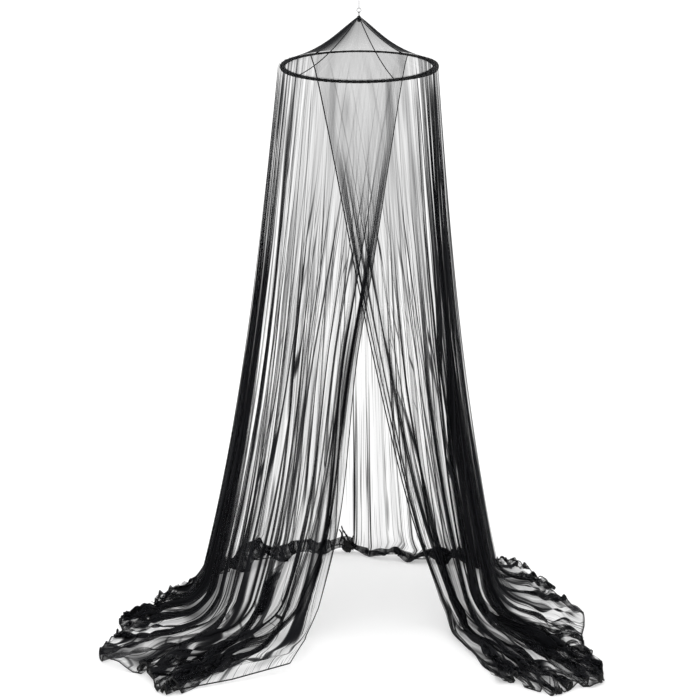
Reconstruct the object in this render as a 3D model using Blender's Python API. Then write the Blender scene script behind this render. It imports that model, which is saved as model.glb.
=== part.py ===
"""Round mosquito net canopy: a hoop on four cords under a ceiling hook, a cone of net above it, and one
long curtain of net that hangs from the hoop, laps over itself at the front and trails on the floor.
Metres, +Z up. The origin is the top of the hook; the opening in the net faces -Y."""
from math import cos, pi, radians, sin

import bmesh
import bpy
import numpy as np
from mathutils import Vector
from mathutils.bvhtree import BVHTree

# Driving sizes
HANG_HEIGHT = 2.300          # floor to the top of the hook
HOOP_HEIGHT = 2.050          # floor to the hoop's centre line
TIP_HEIGHT = 2.236           # floor to the cone's tip
HOOP_R = 0.292               # hoop, to the middle of its rod
HOOP_ROD_R = 0.005
NET_T = 0.002                # thickness of the net with its gathers, as one sheet
SEAT = 0.0004                # gap between pieces that touch

# Curtain: one row for each station along the cloth, from its right front edge round the back to the left one.
# Angles start at the front (-Y) and grow towards the right (+X).
STATION_COLUMNS = ("hoop_deg", "foot_deg", "foot_r", "hem_x", "hem_y", "fold")
STATIONS = (
    (-36, 37, 0.510, 0.420, -0.830, 0.40),
    (-5, 44, 0.550, 0.530, -0.910, 0.65),
    (28, 54, 0.580, 0.680, -0.920, 0.80),
    (58, 67, 0.580, 0.770, -0.680, 1.00),
    (86, 84, 0.575, 0.810, -0.280, 1.10),
    (110, 104, 0.580, 0.760, 0.110, 1.20),
    (134, 128, 0.600, 0.600, 0.410, 1.10),
    (157, 152, 0.570, 0.340, 0.550, 0.75),
    (180, 180, 0.555, -0.020, 0.625, 0.60),
    (205, 208, 0.570, -0.330, 0.565, 0.75),
    (231, 234, 0.610, -0.600, 0.340, 1.10),
    (258, 258, 0.595, -0.720, 0.030, 1.20),
    (285, 280, 0.590, -0.820, -0.230, 1.10),
    (311, 296, 0.590, -0.870, -0.520, 1.00),
    (340, 311, 0.590, -0.710, -0.830, 0.80),
    (368, 324, 0.550, -0.530, -0.910, 0.65),
    (394, 334, 0.510, -0.290, -0.780, 0.40),
)
CURTAIN_TOP = HOOP_HEIGHT + 0.002
CURTAIN_R = HOOP_R + HOOP_ROD_R + SEAT + NET_T / 2 + 0.0009
FLARE = 0.62                 # share of the widening that is even; the rest comes near the floor
TWIST_EASE = 0.78            # how fast the folds swing from their hoop angle to their floor angle
CORNER = 0.110               # length of wall and of train that the bend at the floor takes
LAP_DEG = 72.0               # how much of the hoop the two front edges share
LAP_GAP = (0.0045, 0.026)    # half the space between the lapped layers, at the hoop and its growth downwards

# Folds of the curtain
FOLDS = 24
FOLD_TOP = 0.0015            # half depth of a fold at the hoop
FOLD_FOOT = 0.034            # half depth at the floor
FOLD_HEM = 0.020             # half height of the ripples on the floor
SCALLOP = 0.030              # how far the hem runs in and out
WARP = ((1, 0.014, 0.7), (2, 0.009, 2.1), (3, 0.006, 4.4), (5, 0.0035, 1.3))
UNEVEN = ((3, 0.22, 1.9), (7, 0.20, 0.4), (11, 0.16, 3.3))

COLUMNS_PER_FOLD = 5
WALL_ROWS = 12
CORNER_ROWS = 3
TRAIN_ROWS = 4

# Cone
CONE_TIP_R = 0.010
CONE_RIM_R = HOOP_R + 0.0005
CONE_SAG = 0.010
CONE_SIDES = 48
CONE_ROWS = 7
PLEATS = 16
PLEAT_DEPTH = 0.0022

# Cords inside the cone: name, angle from the front in degrees, and how far each one sags
CORDS = (
    ("cord_front_left", -36.5, 0.004),
    ("cord_front_right", 35.5, 0.004),
    ("cord_back_right", 149, 0.012),
    ("cord_back_left", 237, 0.016),
)
CORD_R = 0.0022
CORD_POINTS = 12

# Knot, loop and hook
KNOT_R = 0.0085
LOOP_R = 0.0075
LOOP_ROD_R = 0.0016
HOOK_R = 0.0080
HOOK_ROD_R = 0.0015

# Knot in the back hem
HEM_KNOT_X = -0.040
HEM_KNOT_R = 0.023
TAIL_LENGTH = 0.120
TAIL_LEAN = 0.050            # how far the tail leans in from the net
TAIL_R = 0.004


def material(name, color, roughness, metallic=0.0):
    """One Principled material."""
    mat = bpy.data.materials.new(name)
    mat.use_nodes = True
    shader = mat.node_tree.nodes["Principled BSDF"]
    shader.inputs["Base Color"].default_value = (*color, 1.0)
    shader.inputs["Roughness"].default_value = roughness
    shader.inputs["Metallic"].default_value = metallic
    return mat


def add_object(name, mesh, mat, smooth_deg=60):
    """Links a mesh as a named object, shaded smooth, moved so that the hook's top is the origin."""
    for vertex in mesh.vertices:
        vertex.co.z -= HANG_HEIGHT
    mesh.shade_smooth()
    mesh.set_sharp_from_angle(angle=radians(smooth_deg))
    mesh.materials.append(mat)
    obj = bpy.data.objects.new(name, mesh)
    bpy.context.collection.objects.link(obj)
    return obj


def grid_mesh(name, rows, closed=False):
    """A mesh of quads over rows of points; closed joins the last column to the first."""
    mesh = bpy.data.meshes.new(name)
    bm = bmesh.new()
    verts = [[bm.verts.new(point) for point in row] for row in rows]
    count = len(rows[0])
    for upper, lower in zip(verts, verts[1:]):
        for i in range(count if closed else count - 1):
            j = (i + 1) % count
            bm.faces.new((upper[i], lower[i], lower[j], upper[j]))
    bm.to_mesh(mesh)
    bm.free()
    return mesh


def thicken(obj, thickness):
    """Gives a sheet its thickness, half to each side."""
    solid = obj.modifiers.new("Thickness", "SOLIDIFY")
    solid.thickness = thickness
    solid.offset = 0.0
    solid.use_rim = True


def station(column, u):
    """A column of the station table at u, the share of the way along the cloth, on a smooth curve."""
    values = np.array([row[STATION_COLUMNS.index(column)] for row in STATIONS], float)
    slopes = np.gradient(values)
    place = u * (len(STATIONS) - 1)
    i = int(min(place, len(STATIONS) - 2))
    f = place - i
    rise = f * f * (3 - 2 * f)
    return (values[i] * (1 - rise) + values[i + 1] * rise
            + slopes[i] * f * (1 - f) ** 2 - slopes[i + 1] * f * f * (1 - f))


def waves(table, u):
    """The sum of slow waves in a table of (count, size, phase)."""
    return sum(size * sin(2 * pi * count * u + phase) for count, size, phase in table)


def around(deg, r, z):
    """A point at an angle from the front, a radius and a height."""
    return Vector((r * sin(radians(deg)), -r * cos(radians(deg)), z))


def wall_point(u, t):
    """The curtain without folds, t from 0 at the hoop to 1 at the floor."""
    hoop_deg = station("hoop_deg", u)
    deg = hoop_deg + (station("foot_deg", u) - hoop_deg) * t ** TWIST_EASE
    r = CURTAIN_R + (station("foot_r", u) - CURTAIN_R) * (FLARE * t + (1 - FLARE) * t ** 3)
    lap = LAP_DEG / (STATIONS[-1][0] - STATIONS[0][0])
    side = min(1.0, max(0.0, (u - lap) / (1 - 2 * lap)))
    side = side * side * (3 - 2 * side)
    layer = LAP_GAP[0] + LAP_GAP[1] * t
    return around(deg, r + LAP_GAP[0] + layer * (2 * side - 1), CURTAIN_TOP * (1 - t) + NET_T / 2 * t)


def curtain_point(u, v):
    """The curtain with its folds, v from 0 at the hoop to 1 at the hem."""
    wall_share = WALL_ROWS / (WALL_ROWS + CORNER_ROWS + TRAIN_ROWS)
    corner_share = CORNER_ROWS / (WALL_ROWS + CORNER_ROWS + TRAIN_ROWS)
    t_corner = 1 - CORNER / CURTAIN_TOP
    phase = 2 * pi * (FOLDS * (u + waves(WARP, u)))
    foot = wall_point(u, 1.0)
    hem = Vector((station("hem_x", u), station("hem_y", u), NET_T / 2))
    hem += (hem - foot).normalized() * SCALLOP * (sin(phase * 0.5 + 1.0) + 0.5 * sin(phase * 0.31))
    bend = min(0.5, CORNER / (hem - foot).length)
    outward = Vector((foot.x, foot.y, 0)).normalized()
    up = Vector((0, 0, 1))
    if v <= wall_share:
        t = t_corner * v / wall_share
        point = wall_point(u, t)
        turn = 0.0
        depth = FOLD_TOP + (FOLD_FOOT - FOLD_TOP) * t ** 1.3
        outward = Vector((point.x, point.y, 0)).normalized()
    elif v <= wall_share + corner_share:
        f = (v - wall_share) / corner_share
        start = wall_point(u, t_corner)
        end = foot.lerp(hem, bend)
        point = start.lerp(foot, f).lerp(foot.lerp(end, f), f)
        turn = f
        depth = FOLD_FOOT * (1 - f) + FOLD_HEM * f
    else:
        f = (v - wall_share - corner_share) / (1 - wall_share - corner_share)
        point = foot.lerp(hem, bend + (1 - bend) * f)
        turn = 1.0
        depth = FOLD_HEM * (1 - 0.45 * f)
    fold = station("fold", u)
    depth *= (fold + (1 - fold) * min(1.0, 1.3 * v) ** 2) * (1 + waves(UNEVEN, u))
    shape = 0.8 * sin(phase) + 0.2 * sin(2 * phase + 1.1)
    normal = (outward * cos(turn * pi / 2) + up * sin(turn * pi / 2)).normalized()
    return point + normal * depth * (shape + turn)


def add_curtain():
    """The long curtain of net, as one sheet; returns its object."""
    columns = FOLDS * COLUMNS_PER_FOLD
    rows = WALL_ROWS + CORNER_ROWS + TRAIN_ROWS
    points = [[curtain_point(i / columns, j / rows) for i in range(columns + 1)] for j in range(rows + 1)]
    net = material("black net", (0.012, 0.012, 0.013), 0.75)
    obj = add_object("curtain_net", grid_mesh("curtain_net", points), net)
    thicken(obj, NET_T)
    return obj


def cone_point(deg, f):
    """The cone, f from 0 at the tip to 1 at the hoop."""
    r = CONE_TIP_R + (CONE_RIM_R - CONE_TIP_R) * f
    rim = HOOP_HEIGHT + HOOP_ROD_R + SEAT + NET_T / 2
    pleat = PLEAT_DEPTH * sin(radians(deg) * PLEATS) * sin(pi * f)
    return around(deg, r, TIP_HEIGHT + (rim - TIP_HEIGHT) * f - 4 * CONE_SAG * f * (1 - f) + pleat)


def add_cone():
    """The cone of net between the tip and the hoop."""
    rows = [[cone_point(360 * i / CONE_SIDES, j / CONE_ROWS) for i in range(CONE_SIDES)]
            for j in range(CONE_ROWS + 1)]
    net = material("black cone net", (0.012, 0.012, 0.013), 0.75)
    thicken(add_object("cone_net", grid_mesh("cone_net", rows, closed=True), net), NET_T)


def ring_points(center, axis_a, axis_b, radius, count):
    """Points round a circle that is spanned by two axes."""
    turn = [2 * pi * i / count for i in range(count)]
    return [center + axis_a * radius * cos(a) + axis_b * radius * sin(a) for a in turn]


def tube(name, points, radius, sides=2, cyclic=False):
    """A round rod along points, as a mesh with closed ends."""
    curve = bpy.data.curves.new(name, "CURVE")
    curve.dimensions = "3D"
    curve.bevel_depth = radius
    curve.bevel_resolution = sides
    curve.use_fill_caps = not cyclic
    spline = curve.splines.new("POLY")
    spline.points.add(len(points) - 1)
    for target, point in zip(spline.points, points):
        target.co = (*point, 1.0)
    spline.use_cyclic_u = cyclic
    holder = bpy.data.objects.new(name, curve)
    bpy.context.collection.objects.link(holder)
    mesh = bpy.data.meshes.new_from_object(holder.evaluated_get(bpy.context.evaluated_depsgraph_get()))
    bpy.data.objects.remove(holder)
    bpy.data.curves.remove(curve)
    mesh.name = name
    return mesh


def add_hoop():
    """The round hoop."""
    points = [around(360 * i / 56, HOOP_R, HOOP_HEIGHT) for i in range(56)]
    add_object("hoop", tube("hoop", points, HOOP_ROD_R, cyclic=True), material("hoop", (0.01, 0.01, 0.01), 0.45))


def add_cords():
    """The four cords from the tip to the hoop, under the cone's net."""
    mat = material("cord", (0.012, 0.012, 0.012), 0.8)
    top = TIP_HEIGHT - 0.006
    start_r = KNOT_R + SEAT + CORD_R * 0.5
    end_r = HOOP_R - HOOP_ROD_R - SEAT - CORD_R * 0.45
    for name, deg, sag in CORDS:
        points = []
        for i in range(CORD_POINTS):
            f = i / (CORD_POINTS - 1)
            r = start_r + (end_r - start_r) * f
            z = top + (HOOP_HEIGHT - top) * f - 4 * (sag + CONE_SAG) * f * (1 - f)
            points.append(around(deg, r, z))
        add_object(name, tube(name, points, CORD_R), mat)


def add_tip():
    """The knot at the tip with its loop, and the ceiling hook that the loop hangs on."""
    tape = material("loop tape", (0.01, 0.01, 0.01), 0.8)
    steel = material("hook steel", (0.55, 0.55, 0.56), 0.3, 1.0)
    knot_z = TIP_HEIGHT - 0.004
    mesh = bpy.data.meshes.new("hanging_loop")
    bm = bmesh.new()
    bmesh.ops.create_uvsphere(bm, u_segments=16, v_segments=10, radius=KNOT_R)
    bmesh.ops.scale(bm, vec=(1, 1, 1.5), verts=bm.verts)
    bmesh.ops.translate(bm, vec=(0, 0, knot_z), verts=bm.verts)
    bm.to_mesh(mesh)
    bm.free()
    knot = add_object("hanging_loop", mesh, tape)
    x, y, z = Vector((1, 0, 0)), Vector((0, 1, 0)), Vector((0, 0, 1))
    loop_center = Vector((0, 0, knot_z + KNOT_R * 1.5 + LOOP_R - 0.001))
    loop = add_object("loop_ring", tube("loop_ring", ring_points(loop_center, y, z, LOOP_R, 20), LOOP_ROD_R,
                                        cyclic=True), tape)
    join(knot, loop)
    hook_center = loop_center + z * (LOOP_R - LOOP_ROD_R + HOOK_R - HOOK_ROD_R - SEAT)
    hook_ring = add_object("ceiling_hook", tube("ceiling_hook", ring_points(hook_center, x, z, HOOK_R, 24),
                                                HOOK_ROD_R, cyclic=True), steel)
    bottom = hook_center + z * (HOOK_R - HOOK_ROD_R * 0.4)
    shank = add_object("shank", tube("shank", [bottom, Vector((0, 0, HANG_HEIGHT))], HOOK_ROD_R), steel)
    join(hook_ring, shank)


def join(base, other):
    """Fuses another shape into the base and hides it."""
    union = base.modifiers.new("Union", "BOOLEAN")
    union.operation = "UNION"
    union.object = other
    other.hide_render = True
    other.display_type = "WIRE"


def knot_mesh():
    """The lumpy knot, flat underneath, round the origin."""
    mesh = bpy.data.meshes.new("hem_knot")
    bm = bmesh.new()
    bmesh.ops.create_icosphere(bm, subdivisions=3, radius=HEM_KNOT_R)
    for vertex in bm.verts:
        way = vertex.co.normalized()
        vertex.co *= 1 + 0.08 * sin(5 * way.x + 3 * way.z) + 0.05 * sin(7 * way.y - 4 * way.x)
        vertex.co.z = max(vertex.co.z, -HEM_KNOT_R * 0.8)
    bm.to_mesh(mesh)
    bm.free()
    return mesh


def add_hem_knot(net_mesh):
    """The knot in the back hem with its short tail, moved back until it meets the net."""
    mat = material("hem knot", (0.008, 0.008, 0.008), 0.8)
    knot = knot_mesh()
    steps = np.linspace(0.1, 1, 9)
    tail = tube("tail", [Vector((-0.018 * f + 0.005 * sin(6 * f), -TAIL_LEAN * f, TAIL_LENGTH * f))
                         for f in steps], TAIL_R)
    net = BVHTree.FromPolygons([vertex.co for vertex in net_mesh.vertices],
                               [face.vertices for face in net_mesh.polygons])
    height = HEM_KNOT_R * 0.8 - HANG_HEIGHT
    shape = [vertex.co + Vector((HEM_KNOT_X, 0, height)) for mesh in (knot, tail) for vertex in mesh.vertices]
    near, far = 0.30, 0.70
    for _ in range(24):
        middle = (near + far) / 2
        gap = min(net.find_nearest(co + Vector((0, middle, 0)))[3] for co in shape)
        crossed = any(net.ray_cast(Vector((co.x, 0, co.z)), Vector((0, 1, 0)), co.y + middle)[0]
                      for co in shape)
        if crossed or gap < NET_T / 2 + 2 * SEAT:
            far = middle
        else:
            near = middle
    for mesh in (knot, tail):
        for vertex in mesh.vertices:
            vertex.co += Vector((HEM_KNOT_X, near, height + HANG_HEIGHT))
    join(add_object("hem_knot", knot, mat), add_object("tail", tail, mat))


def main():
    for obj in list(bpy.data.objects):
        bpy.data.objects.remove(obj)
    add_tip()
    add_hoop()
    add_cords()
    add_cone()
    net = add_curtain()
    add_hem_knot(net.data)


main()
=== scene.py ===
"""The looks of the round mosquito net canopy: its black net in hung folds, hemmed edges, sleeved hoop,
twisted cords, knotted loop and ceiling hook, on a plain white stage."""
from math import cos, pi, radians, sin

import bpy
import numpy as np
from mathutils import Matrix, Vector


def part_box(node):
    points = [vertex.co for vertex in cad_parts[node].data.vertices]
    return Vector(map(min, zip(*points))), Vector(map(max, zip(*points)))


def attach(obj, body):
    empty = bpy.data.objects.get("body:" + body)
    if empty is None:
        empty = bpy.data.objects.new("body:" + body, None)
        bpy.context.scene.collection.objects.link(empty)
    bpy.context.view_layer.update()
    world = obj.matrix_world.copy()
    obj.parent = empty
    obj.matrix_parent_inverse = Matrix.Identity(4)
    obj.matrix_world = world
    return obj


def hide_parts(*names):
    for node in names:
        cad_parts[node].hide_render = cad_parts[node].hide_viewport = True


bl_info = {
    "name": "Mosquito Net Canopy",
    "version": (1, 0, 0),
    "blender": (4, 5, 0),
    "location": "View3D > Sidebar > Net Canopy",
    "description": "Models a round bed canopy of black net piece by piece",
    "category": "Object",
}

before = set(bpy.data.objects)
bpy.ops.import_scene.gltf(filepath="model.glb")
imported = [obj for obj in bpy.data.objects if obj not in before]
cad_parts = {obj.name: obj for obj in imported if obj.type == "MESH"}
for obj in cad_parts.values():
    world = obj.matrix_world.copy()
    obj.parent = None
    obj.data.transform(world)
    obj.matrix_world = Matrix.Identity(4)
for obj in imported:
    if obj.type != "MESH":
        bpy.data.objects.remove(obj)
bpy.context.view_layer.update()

# The floor, the hoop and the cone, as the frame's nodes give them; the top of the hook is at height 0
FLOOR_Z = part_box("curtain_net")[0].z
HOOP_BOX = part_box("hoop")
HOOP_ROD_R = (HOOP_BOX[1].z - HOOP_BOX[0].z) / 2
HOOP_R = (HOOP_BOX[1].x - HOOP_BOX[0].x) / 2 - HOOP_ROD_R
HOOP_Z = (HOOP_BOX[0].z + HOOP_BOX[1].z) / 2
CONE_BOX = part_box("cone_net")
NET_T = 0.002

# The curtain's stations from the right front edge round the back to the left one: angles from the front (-Y)
# towards the right (+X) at the hoop and the floor, the foot's radius, the hem's place and the folds' size
STATION_COLUMNS = ("hoop_deg", "foot_deg", "foot_r", "hem_x", "hem_y", "fold")
STATIONS = (
    (-36, 37, 0.510, 0.420, -0.830, 0.40),
    (-5, 44, 0.550, 0.530, -0.910, 0.65),
    (28, 54, 0.580, 0.680, -0.920, 0.80),
    (58, 67, 0.580, 0.770, -0.680, 1.00),
    (86, 84, 0.575, 0.810, -0.280, 1.10),
    (110, 104, 0.580, 0.760, 0.110, 1.20),
    (134, 128, 0.600, 0.600, 0.410, 1.10),
    (157, 152, 0.570, 0.340, 0.550, 0.75),
    (180, 180, 0.555, -0.020, 0.625, 0.60),
    (205, 208, 0.570, -0.330, 0.565, 0.75),
    (231, 234, 0.610, -0.600, 0.340, 1.10),
    (258, 258, 0.595, -0.720, 0.030, 1.20),
    (285, 280, 0.590, -0.820, -0.230, 1.10),
    (311, 296, 0.590, -0.870, -0.520, 1.00),
    (340, 311, 0.590, -0.710, -0.830, 0.80),
    (368, 324, 0.550, -0.530, -0.910, 0.65),
    (394, 334, 0.510, -0.290, -0.780, 0.40),
)

# The hung wall: where it starts, how it flares and turns on its way down, and how it bends at the floor
CURTAIN_TOP = HOOP_Z + 0.002
CURTAIN_R = HOOP_R + HOOP_ROD_R + 0.0023
FLARE = 0.62
TWIST_EASE = 0.78
CORNER = 0.110
WALL_SHARE = 12 / 19
CORNER_SHARE = 3 / 19

# The lap at the front: its angle, and how far its two layers hang from the middle at the hoop and below
LAP_DEG = 72.0
LAP_GAP = (0.0045, 0.026)

# The main folds: how many, their half depth at the hoop, the foot and the hem, and how they grow and fade
FOLDS = 24
FOLD_TOP = 0.0015
FOLD_FOOT = 0.034
FOLD_HEM = 0.020
FOLD_GROWTH = 1.3
FOLD_FADE = 0.45
FOLD_EVENED = 1.3
FOLD_SHAPE = (0.8, 0.2, 1.1)
SCALLOP = 0.030
SCALLOP_WAVES = ((0.5, 1.0, 1.0), (0.31, 0.5, 0.0))
WARP = ((1, 0.014, 0.7), (2, 0.009, 2.1), (3, 0.006, 4.4), (5, 0.0035, 1.3))
UNEVEN = ((3, 0.22, 1.9), (7, 0.20, 0.4), (11, 0.16, 3.3))

# The finer folds, ripples and then pleats: how many, how they drift, how far they stand out at the hoop and
# how much more at the floor, how their sizes wander, and how far the ripples lean to their sides
RIPPLES = 74
RIPPLE_DRIFT = (0.35, (5, 0.5, 2.5))
RIPPLE_HIGH = (0.0003, 0.0100, 0.8)
RIPPLE_SIZE = (0.75, 0.45, (8, 4, 22), (0.15, 1.6))
RIPPLE_LEAN = (0.34, 0.008, 0.6)
PLEATS = 163
PLEAT_DRIFT = (0.5, (4, 1, 5))
PLEAT_HIGH = (0.0003, 0.0026)
PLEAT_SIZE = (0.7, 0.5, (8, 9, 40), (0.1, 1.5))
FINE_LESS = 0.85

# The ruffles and side waves of the cloth on the floor: count, size, slant, and for the ruffles their drift.
# They start soft at the foot and at the two front edges
RUFFLES = ((57, 0.010, 1.7, 1.1, (4, 2, 9)), (121, 0.008, -2.3, 0.8, (4, 3, 9)))
RUFFLE_START = 1.6
SIDE_WAVES = ((31, 0.020, 0.9), (88, 0.012, -1.3))
SIDE_WAVE_START = 1.3
SIDE_WAVE_LESS = 0.8
CALM_EDGE = 0.035

# The hem along the back lies as a loose roll: its place, its height, where it rises on the left of its knot
# and lies smoother, where it stands higher or lower, and how its height wanders
BACK_HEM = (0.535, 0.18, 6)
BACK_HEM_FROM = (0.70, 0.05)
ROLL_SPAN = (0.53, 0.20, 4)
ROLL_HIGH = 0.030
ROLL_HIGHER = 0.044
ROLL_CLIMB = (0.50, 0.09)
ROLL_SMOOTH = ((0.500, 0.03), (0.65, 0.06))
ROLL_BUMP = (0.41, 0.03)
ROLL_BUMP_HIGH = 0.02
ROLL_SAG = (0.452, 0.03, 4)
ROLL_SAG_LESS = 0.4
ROLL_WANDER = (0.2, 0.12, (6, 6, 22))
ROLL_ROUND = 0.8
RUFFLE_LESS = 0.7

# How far the back hem is drawn inwards, with more in two heaps, where the roll is eased again at the hem, and
# in one dip
HEM_PULL = 0.055
HEAPS = ((0.610, 0.045, 4), (0.405, 0.035, 4))
HEAP_PULL = 0.06
HEAP_EASE = 0.6
DIP = (0.452, 0.040, 4)
DIP_PULL = 0.07

# Both front edges hang further right than the stations put them: how far, over which stretch of the way down,
# and how near the edge
LEFT_SLIDE = (0.066, (0.32, 0.26), (0.84, 0.16))
RIGHT_SLIDE = (0.034, (0.66, 0.08), 0.12)

# The cloth rests on the floor with its pleats a little over it, and stays under the hoop's top
FLOOR_REST = (0.0008, 0.0006)
TOP_MOST = 0.003

# The ropes of gathered cloth that show as dark lines: where each hangs along the cloth's run at the hoop,
# at two heights and at the hem, how wide it is, and its share of the cloth
ROPE_COLUMNS = ("top", "middle", "low", "hem", "width", "cloth")
RIGHT_ROPES = (
    (0.008, 0.004, 0.008, 0.026, 0.003, 0.030),
    (0.022, 0.015, 0.019, 0.046, 0.002, 0.024),
    (0.040, 0.029, 0.029, 0.060, 0.003, 0.026),
    (0.060, 0.045, 0.039, 0.072, 0.003, 0.016),
    (0.090, 0.068, 0.050, 0.092, 0.005, 0.030),
    (0.103, 0.089, 0.078, 0.108, 0.003, 0.012),
    (0.128, 0.115, 0.094, 0.124, 0.005, 0.020),
    (0.146, 0.136, 0.114, 0.140, 0.004, 0.016),
    (0.163, 0.153, 0.130, 0.156, 0.006, 0.056),
    (0.176, 0.166, 0.145, 0.170, 0.006, 0.066),
    (0.189, 0.179, 0.160, 0.187, 0.006, 0.060),
    (0.203, 0.192, 0.176, 0.205, 0.006, 0.044),
)
LEFT_ROPES = (
    (0.783, 0.785, 0.782, 0.755, 0.006, 0.044),
    (0.797, 0.798, 0.797, 0.770, 0.006, 0.050),
    (0.806, 0.808, 0.812, 0.790, 0.004, 0.034),
    (0.820, 0.830, 0.843, 0.812, 0.005, 0.036),
    (0.834, 0.843, 0.857, 0.825, 0.003, 0.012),
    (0.846, 0.857, 0.875, 0.838, 0.004, 0.018),
    (0.873, 0.888, 0.898, 0.868, 0.004, 0.020),
    (0.893, 0.908, 0.917, 0.882, 0.005, 0.022),
    (0.925, 0.944, 0.945, 0.897, 0.004, 0.020),
    (0.955, 0.976, 0.966, 0.908, 0.003, 0.034),
    (0.985, 0.992, 0.980, 0.918, 0.006, 0.060),
)

# The seed of the curtain's random draws
CURTAIN_SEED = 11

# The ropes of the back, at even steps: how many, between which places, how far each strays at the middle and
# the hem, its width, how it thins towards the back's middle, and its cloth
BACK_ROPES = 24
BACK_SPAN = (0.214, 0.774)
BACK_JITTER = 0.3
BACK_STRAY = (0.003, 0.005)
BACK_WIDTH = 0.0045
BACK_THIN = (0.22, 0.78, 0.16)
BACK_CLOTH = (0.010, 0.026)
BACK_CLOTH_MIX = (0.4, 0.6)

# The thin ropes between the others: the step between them, up to which place, their width and their cloth
THIN_STEP = 0.0125
THIN_END = 0.975
THIN_JITTER = 0.35
THIN_WIDTH = (0.0006, 0.0013)
THIN_CLOTH = (0.002, 0.009)

# The levels of the ropes: how far down each lies, and how wide a rope is there. The upper level is mixed from
# the top and the middle, and the turn from the low level and the hem, more of it in the left edge's ropes
LEVELS = {"top": (0.0, 1.5), "upper": (0.13, 1.1), "middle": (0.29, 1.0),
          "low": (0.52, 1.0), "turn": (0.73, 1.1), "hem": (1.0, 1.3)}
UPPER_MIX = (0.52, 0.48)
TURN_MIX = 0.25
TURN_MIX_EDGE = 0.50
EDGE_ROPES = 0.925

# The share of the cloth that the ropes hold, their widening, and where more hangs loose between them: how
# much more, its place, its half width and the power of its fall
ROPES_SHARE = 0.88
ROPES_WIDE = 1.2
LEAST_GAP = 0.001
LOOSER = ((5.0, 0.5, 0.09, 2), (3.0, 0.07, 0.09, 4), (2.5, 0.93, 0.07, 4))
BACK_MIDDLE = (0.5, 0.09)

# How the columns of points are shared out, by cloth and by place, and the share of them that is spent so. The
# floor's rows of points start partway through the bend
COLUMN_SPLIT = (0.55, 0.45)
COLUMN_FILL = 0.86
BEND_ROW = 0.4

# The fine steps in which the ropes' places are worked out, how many of them are softened under the hoop, and
# the most room between two ropes that a rope takes
ROPE_STEPS = 4001
SOFTENED = 260
ROPE_ROOM = 0.8

# The cloth: its cut, and how much net the finest gathers hold beyond the folds that are modelled, at the hoop
# and from the share of the drop where they are full
CUT_HEM = 8.4
CUT_LENGTH = 2.50
FULL_TOP = 14.0
FULL_LOW = 50.0
FULL_FROM = 0.62

# Soft steps in the cloth's looks: where each starts and over what run it comes in. PLAIN is where the cloth
# hangs smooth under the hoop. LEG is the two front parts, gathered at most so far, and GREY the front and the
# sides, gathered at least so far, as the hem along the back is
PLAIN_SIDE = (0.13, 0.03)
PLAIN_BACK = (0.5, 0.12)
PLAIN_END = (0.11, 0.18)
PLAIN_LEVELS = {"top": 1.0, "upper": 0.9}
LEG_SIDE = (0.27, 0.03)
LEG_TOP = (0.40, 0.12)
LEG_FOOT = (0.78, 0.08)
LEG_MOST = 36.0
LEG_EDGE = (0.88, 0.04)
LEG_EDGE_LESS = 0.45
GREY_TOP = (0.36, 0.20)
GREY_FOOT = (0.74, 0.06)
GREY_SIDE = (0.16, 0.06)
GREY_EDGE = (0.965, 0.01)
GREY_LEAST = 5.5
HEM_GATHER = 11.0

# The dark bundle down the left front edge: where it starts, how much further from the edge it starts lower
# down, the soft steps of that shift, of its top and of its foot, and how much thicker the net lies in it
BUNDLE_FROM = (0.987, 0.010)
BUNDLE_SHIFT = (0.24, 0.14)
BUNDLE_SOFT = 0.007
BUNDLE_TOP = (0.06, 0.20)
BUNDLE_FOOT = (0.50, 0.14)
BUNDLE_MORE = 5.0

# The trains, darker over their first part and a little lighter at the hem
TRAIN_DARK = (0.64, 0.14)
TRAIN_LIGHT = (0.86, 0.12)
TRAIN_LESS = 1.3

# The net's unevenness and its dark lines: less uneven at the back and where the cloth hangs plain, and lined
# more at the back, low down and in the legs, less where it is plain, and not at all at the hoop
NET_UNEVEN = 0.5
BACK_LOOK = (0.5, 0.10)
BACK_EVEN = 0.8
PLAIN_EVEN = 0.95
LINES = 1.6
LINES_BACK = 0.6
LINES_LOW = 0.5
LINES_LOW_FROM = (0.34, 0.20)
LINES_LEGS = 0.7
LINES_PLAIN_LESS = 0.9
LINES_TOP = 0.05
PLACE_SCALE = 3.6

# The hem: how steeply it darkens at the cloth's end and how far, and the steps and sides of its rolled cord
HEM_ROW = (200, 0.5)
HEM_STEP = 0.006
HEM_SIDES = 4

# Where the cloth lies thicker, or thinner, than its modelled folds show: place along the run, half width, how
# much more, and between which shares of the way down, with the runs over which a pile comes in and ends
PILE_SOFT = (0.06, 0.20)
PILES = (
    (0.245, 0.048, 3.2, -0.20, 0.16),
    (0.250, 0.045, 1.2, 0.16, 0.34),
    (0.725, 0.028, 2.2, -0.20, 0.20),
    (0.060, 0.090, -0.35, -0.20, 0.26),
    (0.930, 0.080, -0.35, -0.20, 0.26),
    (0.127, 0.006, 1.5, -0.20, 0.30),
    (0.881, 0.006, 0.8, -0.20, 0.20),
    (0.190, 0.035, 0.6, 0.25, 0.80),
    (0.800, 0.040, 1.2, 0.25, 0.80),
    (0.375, 0.022, 1.2, 0.66, 2.00),
    (0.670, 0.030, 1.2, 0.70, 2.00),
    (0.930, 0.060, 0.1, 0.40, 0.80),
    (0.977, 0.013, 2.2, 0.30, 0.58),
    (0.960, 0.013, 1.6, 0.58, 0.66),
    (0.920, 0.070, 0.5, 0.52, 0.74),
    (0.090, 0.090, 0.5, 0.36, 0.80),
    (0.725, 0.035, 1.6, 0.28, 0.80),
    (0.012, 0.009, 2.0, 0.12, 0.36),
    (0.549, 0.007, 3.0, -0.20, 0.08),
    (0.436, 0.006, 3.5, -0.20, 0.10),
    (0.130, 0.050, 0.5, 0.12, 0.36),
    (0.405, 0.030, 1.6, 0.74, 2.00),
    (0.610, 0.045, 0.5, 0.74, 2.00),
)

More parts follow.
